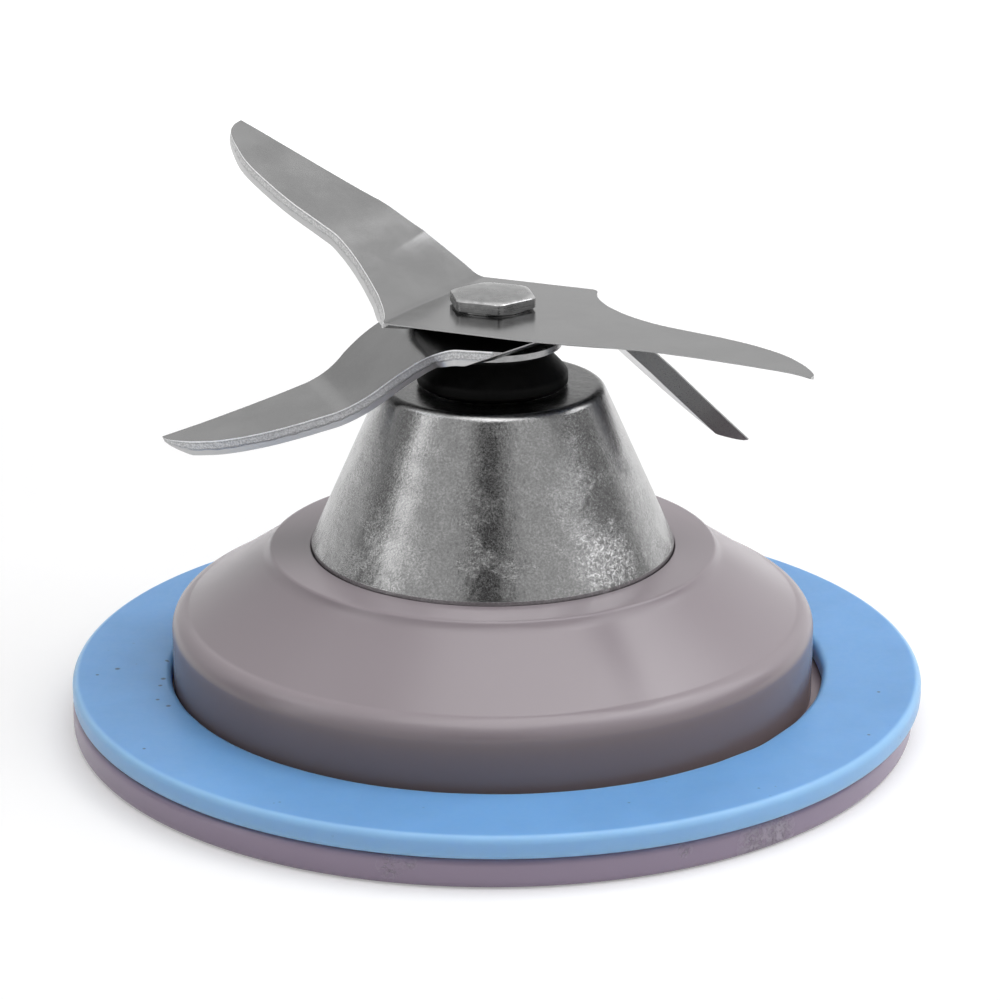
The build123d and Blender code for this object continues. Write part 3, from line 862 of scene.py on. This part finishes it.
class BLADEUNIT_OT_blades(bpy.types.Operator):
    """Make the two stamped blades with satin faces, sheared edges and ground bevels"""
    bl_idname = "blade_unit.blades"
    bl_label = "Blades"

    CUTS = 10
    SHEARED, GROUND = 1, 2
    MOSTLY_GROUND = 0.7

    def execute(self, context):
        s = settings_of(context).blades
        materials = [blade_face_finish(s), sheared_edge_finish(s), ground_edge_finish(s)]
        for node, blank in BLADES.items():
            self.stamp(node, blank, s, materials)
        return {"FINISHED"}

    def stamp(self, node, blank, s, materials):
        """One blade as a strip of sections from the tip of its back wing to that of its front wing."""
        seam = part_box("upper_blade")[0].z
        top = seam + s.thickness if node == "upper_blade" else seam
        sections = self.wing(blank, blank.back, s, -1)[::-1]
        sections += self.hub(blank, s)
        sections += self.wing(blank, blank.front, s, 1)
        bm = bmesh.new()
        depth = bm.verts.layers.float.new("depth")
        rows = []
        for section in sections:
            row = []
            for out, down, deep in self.outline(section, blank.grind * MM, s):
                spot = section.place + section.across * out - section.up * down
                vert = bm.verts.new((*spun(spot.x, spot.y, math.radians(blank.heading)), top + spot.z))
                vert[depth] = deep
                row.append(vert)
            rows.append(row)
        for band, here, onward in zip(skin(bm, rows), sections, sections[1:]):
            self.mark_edge(band[self.CUTS:self.CUTS + 2], here.last_grind, onward.last_grind)
            self.mark_edge(band[-2:], here.first_grind, onward.first_grind)
        for end in (rows[0], rows[-1][::-1]):
            bm.faces.new(end).material_index = self.SHEARED
        bmesh.ops.remove_doubles(bm, verts=bm.verts, dist=MERGE)
        bmesh.ops.dissolve_degenerate(bm, edges=bm.edges, dist=MERGE)
        bmesh.ops.recalc_face_normals(bm, faces=bm.faces)
        finished_piece(f"dressed_{node}", bm, materials, "rotor", [node], crease=24)

    def mark_edge(self, faces, *grinds):
        """Gives the faces of an edge the ground or the sheared finish."""
        mostly_ground = sum(grinds) / len(grinds) > self.MOSTLY_GROUND
        for face in faces:
            face.material_index = self.GROUND if mostly_ground else self.SHEARED

    def outline(self, section, grind, s):
        """Closed outline of a section: (place across, depth below the top, share of the depth)."""
        first, last = section.first, section.last
        grinds = (section.first_grind, section.last_grind)
        full = s.thickness - s.grind_land
        bottom = s.thickness
        near = first + grind * grinds[0]
        far = last - grind * grinds[1]
        if far < near:
            bottom = s.grind_land + full * (last - first) / (grind * sum(grinds))
            near = far = first if grinds[1] > grinds[0] else last
        first_land, last_land = (min(s.grind_land + (1 - part) * full, bottom) for part in grinds)
        cuts = [cut / self.CUTS for cut in range(self.CUTS + 1)]
        return [
            *((first + (last - first) * cut, 0, 0) for cut in cuts),
            (last, last_land, last_land / bottom),
            *((far + (near - far) * cut, bottom, 1) for cut in cuts),
            (first, first_land, first_land / bottom),
        ]

    def hub(self, blank, s):
        """Sections of the flat hub between its wings."""
        half = blank.half
        width = s.half_width / MM
        side = [(-half, -blank.front.lead[0][1] * width), (half, blank.front.trail[0][1] * width)]
        if blank.corner:
            side.insert(1, blank.corner)
        inset = 0.02
        cuts = 40
        evenly = {-half + inset + 2 * (half - inset) * cut / cuts for cut in range(cuts + 1)}
        corners = {sign * along for along, _ in side[1:-1] for sign in (-1, 1)}

        def edge(along):
            for before, after in zip(side, side[1:]):
                if along <= after[0]:
                    part = (along - before[0]) / (after[0] - before[0])
                    return before[1] + (after[1] - before[1]) * part
            return side[-1][1]

        def grind(along):
            if not blank.corner:
                return 1
            return min(1, max(0, (along - blank.corner[0]) / blank.run_out + 1))

        return [
            Section(
                Vector((along, 0, 0)) * MM, Vector((0, 1, 0)), Vector((0, 0, 1)),
                edge(along) * MM, -edge(-along) * MM, grind(along), grind(-along),
            )
            for along in sorted(evenly | corners)
        ]

    def wing(self, blank, wing, s, sign):
        """Sections of a wing from its root to its tip, bent and twisted out of the flat."""
        reach = wing.reach * MM
        run_on_reach = blank.run_on * MM
        stride = 0.05 * MM
        slack = 1e-9
        stations = 90
        cuts = 4
        knots = [share for share, _ in wing.lead]
        shares = {station / stations for station in range(stations + 1)}
        for before, after in zip(knots, knots[1:]):
            shares |= {before + (after - before) * cut / cuts for cut in range(cuts + 1)}
        side = Vector((0, 1, 0))
        sections = []
        out, spot_x, spot_z = 0.0, 0.0, 0.0
        for share in sorted(shares):
            while out < share * reach - slack:
                step = min(stride, share * reach - out)
                angle = self.slope(wing, s, out + step / 2)
                spot_x += step * math.cos(angle)
                spot_z += step * math.sin(angle)
                out += step
            angle = self.slope(wing, s, out)
            level = Vector((-math.sin(angle), 0, math.cos(angle)))
            twist = math.radians(wing.twist) * min(1, max(0, out - wing.land * MM) / s.twist_reach)
            across = side * math.cos(twist) + level * math.sin(twist)
            up = level * math.cos(twist) - side * math.sin(twist)
            lead = along_rows(wing.lead, share) * s.half_width
            trail = along_rows(wing.trail, share) * s.half_width
            run_on = max(0, 1 - out / run_on_reach) if run_on_reach else 0
            place = Vector((blank.half * MM + spot_x, 0, spot_z))
            if sign < 0:
                place.x = -place.x
                up = Vector((-up.x, -up.y, up.z))
                across.z = -across.z
                sections.append(Section(place, across, up, -lead, -trail, run_on, 1))
            else:
                sections.append(Section(place, across, up, trail, lead, 1, run_on))
        return sections

    def slope(self, wing, s, out):
        """Slope of a wing's top line at some reach."""
        angle = 0.0
        for start, degrees, radius in (
            (wing.land * MM, wing.bend, wing.radius * MM),
            (wing.settle_reach * MM, wing.settle, s.settle_radius),
        ):
            if degrees:
                bend = math.radians(degrees)
                angle += bend * min(1, max(0, (out - start) / (abs(bend) * radius)))
        return angle


class BLADEUNIT_OT_slinger(bpy.types.Operator):
    """Make the rubber slinger under the blades"""
    bl_idname = "blade_unit.slinger"
    bl_label = "Slinger Seal"

    def execute(self, context):
        s = settings_of(context).fittings
        low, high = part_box("slinger_seal")
        rim = high.x
        corners = [
            (s.shaft_radius, low.z + s.slinger_hollow, 0), (rim - s.slinger_hollow, low.z, 0.1 * MM),
            (rim, low.z, 0.2 * MM), (rim, low.z + s.slinger_rim, 0.5 * MM),
            (s.slinger_neck, high.z - s.slinger_collar, 0.4 * MM), (s.slinger_neck, high.z, 0.1 * MM),
            (s.shaft_radius, high.z, 0),
        ]
        bm = bmesh.new()
        turned(bm, divided(rounded(corners), longest=0.4 * MM), segments=160)
        finished_piece("rubber_slinger", bm, [rubber_finish(s)], "rotor", ["slinger_seal"])
        return {"FINISHED"}


class BLADEUNIT_OT_shaft(bpy.types.Operator):
    """Make the shaft with its flatted ends, clip groove and worn hexagonal head"""
    bl_idname = "blade_unit.shaft"
    bl_label = "Drive Shaft"

    SEGMENTS = 180

    def execute(self, context):
        s = settings_of(context).fittings
        bm = bmesh.new()
        worn = bm.verts.layers.float.new("worn")
        angles = [2 * math.pi * segment / self.SEGMENTS for segment in range(self.SEGMENTS)]
        rings = []
        for height, reach, wear_and_highlight in self.rows(s):
            ring = [bm.verts.new((*spun(reach(angle), 0, angle), height)) for angle in angles]
            for vert in ring:
                vert[worn] = wear_and_highlight
            rings.append(ring)
        skin(bm, rings[::-1])
        bm.faces.new(reversed(rings[0]))
        bm.faces.new(rings[-1])
        bmesh.ops.remove_doubles(bm, verts=bm.verts, dist=MERGE)
        finished_piece("headed_shaft", bm, [steel_finish(s)], "rotor", ["drive_shaft"], crease=28)
        return {"FINISHED"}

    def rows(self, s):
        """Rings of the shaft from its foot to the top of its head: (height, radius at an angle, share of the
        edge wear and painted highlight).
        """
        low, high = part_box("drive_shaft")
        clip_low, clip_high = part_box("retaining_clip")
        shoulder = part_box("drive_coupling")[1].z
        stack_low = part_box("slinger_seal")[1].z
        seat = high.z - s.head_seat
        base = seat + s.head_lift
        side = base + s.head_side
        crown_foot = side + 0.11 * MM
        crown = base + s.head_height

        def round_of(radius):
            return lambda angle: radius

        def flatted(angle):
            return min(s.shank_radius, s.shank_flat / max(1e-6, abs(math.sin(angle))))

        def hexagon(inset, soft, share=1.0):
            """Share of a hexagon, given across its flats, with its corners cut back by soft."""
            flat = s.head_flats / 2 - inset

            def reach(angle):
                past_flat = (angle - s.head_heading) % (math.pi / 3) - math.pi / 6
                return share * min(flat / math.cos(past_flat), flat / math.cos(math.pi / 6) - soft)
            return reach

        shaft, groove, collar = (round_of(r) for r in (s.shaft_radius, s.groove_radius, s.collar_radius))
        crown_soft = 0.36 * MM
        rows = [
            (low.z, flatted, 0), (shoulder, flatted, 0), (shoulder, shaft, 0), (clip_low.z, shaft, 0),
            (clip_low.z, groove, 0), (clip_high.z, groove, 0), (clip_high.z, shaft, 0), (stack_low, shaft, 0),
            (stack_low, flatted, 0), (seat, flatted, 0), (seat, collar, 0), (base, collar, 0),
            (base, hexagon(0.04 * MM, 0.14 * MM), 0), (base + 0.05 * MM, hexagon(0, 0.1 * MM), 0),
            (side - 0.02 * MM, hexagon(0, 0.1 * MM), 0.2),
            (side + 0.05 * MM, hexagon(0.05 * MM, 0.2 * MM), 1),
            (crown_foot, hexagon(s.head_bevel, crown_soft), 0.6),
        ]
        for share in (0.92, 0.8, 0.6, 0.4, 0.2):
            height = crown - (crown - crown_foot) * share ** 2
            rows.append((height, hexagon(s.head_bevel, crown_soft, share), 0))
        return rows


class BLADEUNIT_OT_fittings(bpy.types.Operator):
    """Finish the washers, nut, clip, bearings, seals and coupling"""
    bl_idname = "blade_unit.fittings"
    bl_label = "Fittings"

    def execute(self, context):
        s = settings_of(context).fittings
        paint(
            steel_finish(s),
            "blade_washer", "housing_washer", "housing_nut", "thrust_washer", "retaining_clip",
        )
        paint(rubber_finish(s), "housing_gasket", "shaft_seal")
        paint(sintered_finish("oiled_bronze", s.bronze, roughness=0.4), "upper_bushing", "lower_bushing")
        paint(felt_finish(s), "oil_felt")
        paint(sintered_finish("sintered_iron", s.sinter, roughness=0.48), "drive_coupling")
        return {"FINISHED"}


class BLADEUNIT_OT_stage(bpy.types.Operator):
    """Set the floor, the light and the camera"""
    bl_idname = "blade_unit.stage"
    bl_label = "Stage"

    # Flat lights: place, size, tint
    LAMPS = {
        "overhead": ((0.07, -0.05, 0.6), (0.7, 0.45), (1.0, 0.99, 0.99)),
        "right": ((0.46, 0.0, 0.5), (0.6, 0.5), (0.98, 0.98, 1.0)),
        "left": ((-0.5, 0.02, 0.56), (0.25, 0.25), (0.96, 0.97, 1.0)),
    }
    # Screens that the metal mirrors: degrees round, degrees above the floor, brightness
    CARDS = {
        "front_screen": ((-157, -18), (-4, 48), 0.66),
        "back_card": ((62, 112), (5, 34), 0.82),
        "centre_card": ((-107, -78), (-4, 40), 0.04),
        "far_left_card": ((122, 165), (-4, 45), 0.72),
        "left_card": ((166, 192), (-4, 40), 0.25),
        "left_strip": ((193, 203), (-4, 45), 2.2),
        "right_card": ((-18, 22), (-4, 36), 0.25),
    }

    def execute(self, context):
        s = settings_of(context).stage
        scene = context.scene
        scene.view_settings.view_transform = "Standard"
        self.set_camera(scene, s)
        self.set_world(scene, s)
        for name, (place, size, tint) in self.LAMPS.items():
            self.add_lamp(f"{name}_light", place, size, getattr(s, name), tint)
        self.add_floor()
        for name, (around, above, brightness) in self.CARDS.items():
            self.add_card(name, around, above, brightness)
        return {"FINISHED"}

    def set_camera(self, scene, s):
        data = bpy.data.cameras.new("camera")
        data.lens = s.focal_length
        data.sensor_width = 36
        data.clip_start = 0.005
        camera = bpy.data.objects.new("camera", data)
        camera.location = s.camera_place
        camera.rotation_euler = (math.pi / 2 - s.pitch, 0, 0)
        scene.collection.objects.link(camera)
        scene.camera = camera

    def set_world(self, scene, s):
        """White where it is seen or mirrored, and dimmer as light."""
        world = bpy.data.worlds.new("white_surround")
        world.use_nodes = True
        tree = world.node_tree
        path = tree.nodes.new("ShaderNodeLightPath")
        seen = path.outputs["Is Camera Ray"]
        for output in ("Is Glossy Ray", "Is Transmission Ray"):
            either = tree.nodes.new("ShaderNodeMath")
            either.operation = "MAXIMUM"
            tree.links.new(seen, either.inputs[0])
            tree.links.new(path.outputs[output], either.inputs[1])
            seen = either.outputs["Value"]
        strength = tree.nodes.new("ShaderNodeMapRange")
        tree.links.new(seen, strength.inputs["Value"])
        strength.inputs["To Min"].default_value = s.ambient
        strength.inputs["To Max"].default_value = 1.0
        background = tree.nodes["Background"]
        background.inputs["Color"].default_value = (1, 1, 1, 1)
        tree.links.new(strength.outputs["Result"], background.inputs["Strength"])
        scene.world = world

    def add_lamp(self, name, place, size, watts, tint):
        """Flat light that faces the middle of the object."""
        data = bpy.data.lights.new(name, "AREA")
        data.shape = "RECTANGLE"
        data.size, data.size_y = size
        data.energy = watts
        data.color = tint
        lamp = bpy.data.objects.new(name, data)
        lamp.location = place
        middle = Vector((0, 0, 0.015))
        lamp.rotation_euler = (middle - lamp.location).to_track_quat("-Z", "Y").to_euler()
        bpy.context.scene.collection.objects.link(lamp)

    def set_out(self, name, bm, material):
        """Turns a bmesh into a part of the stage."""
        mesh = bpy.data.meshes.new(name)
        bm.to_mesh(mesh)
        bm.free()
        mesh.materials.append(material)
        placed = bpy.data.objects.new(name, mesh)
        bpy.context.scene.collection.objects.link(placed)
        return placed

    def add_floor(self):
        """Pale floor that is white to the camera further out and keeps the object's shadow near it."""
        bm = bmesh.new()
        bmesh.ops.create_circle(bm, cap_ends=True, segments=96, radius=3.0)
        f = Finish("pale_floor")
        path = f.node("ShaderNodeLightPath")
        seen = f.most(path.outputs["Is Camera Ray"], path.outputs["Is Glossy Ray"])
        glow = f.near((0, 0, 0), inner=0.05, outer=0.45, within=0.3, beyond=1.0)
        f.set(
            Base_Color=f.blend(f.ramp(f.noise(0.2), 0.3, 0.7), (0.74, 0.74, 0.74), (0.76, 0.76, 0.76)),
            Roughness=0.9, Specular_IOR_Level=0.0, Emission_Color=(1, 1, 1),
            Emission_Strength=f.times(seen, glow),
        )
        floor = self.set_out("floor", bm, f.material)
        floor.location.z = -0.02 * MM

    def add_card(self, name, around, above, brightness):
        """Part of a globe round the object, seen only in reflections. A darker one hides a brighter one."""
        radius = 0.8 + 0.04 * brightness
        middle = 0.02
        steps = 16
        bm = bmesh.new()
        rows = []
        for up in range(steps + 1):
            tilt = math.radians(above[0] + (above[1] - above[0]) * up / steps)
            out, height = radius * math.cos(tilt), middle + radius * math.sin(tilt)
            row = []
            for side in range(steps + 1):
                angle = math.radians(around[0] + (around[1] - around[0]) * side / steps)
                row.append(bm.verts.new((*spun(out, 0, angle), height)))
            rows.append(row)
        skin(bm, rows, closed=False)
        f = Finish(f"{name}_cloth")
        f.set(
            Base_Color=(0, 0, 0), Roughness=1.0, Specular_IOR_Level=0.0, Emission_Color=(1, 1, 1),
            Emission_Strength=brightness,
        )
        card = self.set_out(name, bm, f.material)
        for ray in ("camera", "diffuse", "transmission", "shadow"):
            setattr(card, f"visible_{ray}", False)


MAKERS = (
    BLADEUNIT_OT_stage, BLADEUNIT_OT_moulding, BLADEUNIT_OT_gasket, BLADEUNIT_OT_housing,
    BLADEUNIT_OT_blades, BLADEUNIT_OT_slinger, BLADEUNIT_OT_shaft, BLADEUNIT_OT_fittings,
)


class BLADEUNIT_PT_panel(bpy.types.Panel):
    """Buttons that make the pieces, and the values that they use"""
    bl_idname = "BLADEUNIT_PT_panel"
    bl_label = "Blade Unit"
    bl_space_type = "VIEW_3D"
    bl_region_type = "UI"
    bl_category = "Blade Unit"

    def draw(self, context):
        settings = settings_of(context)
        for maker in MAKERS:
            self.layout.operator(maker.bl_idname)
        for group in BladeUnitSettings.__annotations__:
            box = self.layout.box()
            box.label(text=group.capitalize())
            values = getattr(settings, group)
            for name in values.__annotations__:
                box.prop(values, name)


CLASSES = (
    MouldingSettings, GasketSettings, HousingSettings, BladeSettings, FittingSettings, StageSettings,
    BladeUnitSettings, *MAKERS, BLADEUNIT_PT_panel,
)


def register():
    for kind in CLASSES:
        bpy.utils.register_class(kind)
    bpy.types.Scene.blade_unit = PointerProperty(type=BladeUnitSettings)


def unregister():
    del bpy.types.Scene.blade_unit
    for kind in reversed(CLASSES):
        bpy.utils.unregister_class(kind)


def main():
    """Makes every piece in order."""
    register()
    for maker in MAKERS:
        group, name = maker.bl_idname.split(".")
        getattr(getattr(bpy.ops, group), name)()


if __name__ == "__main__":
    main()
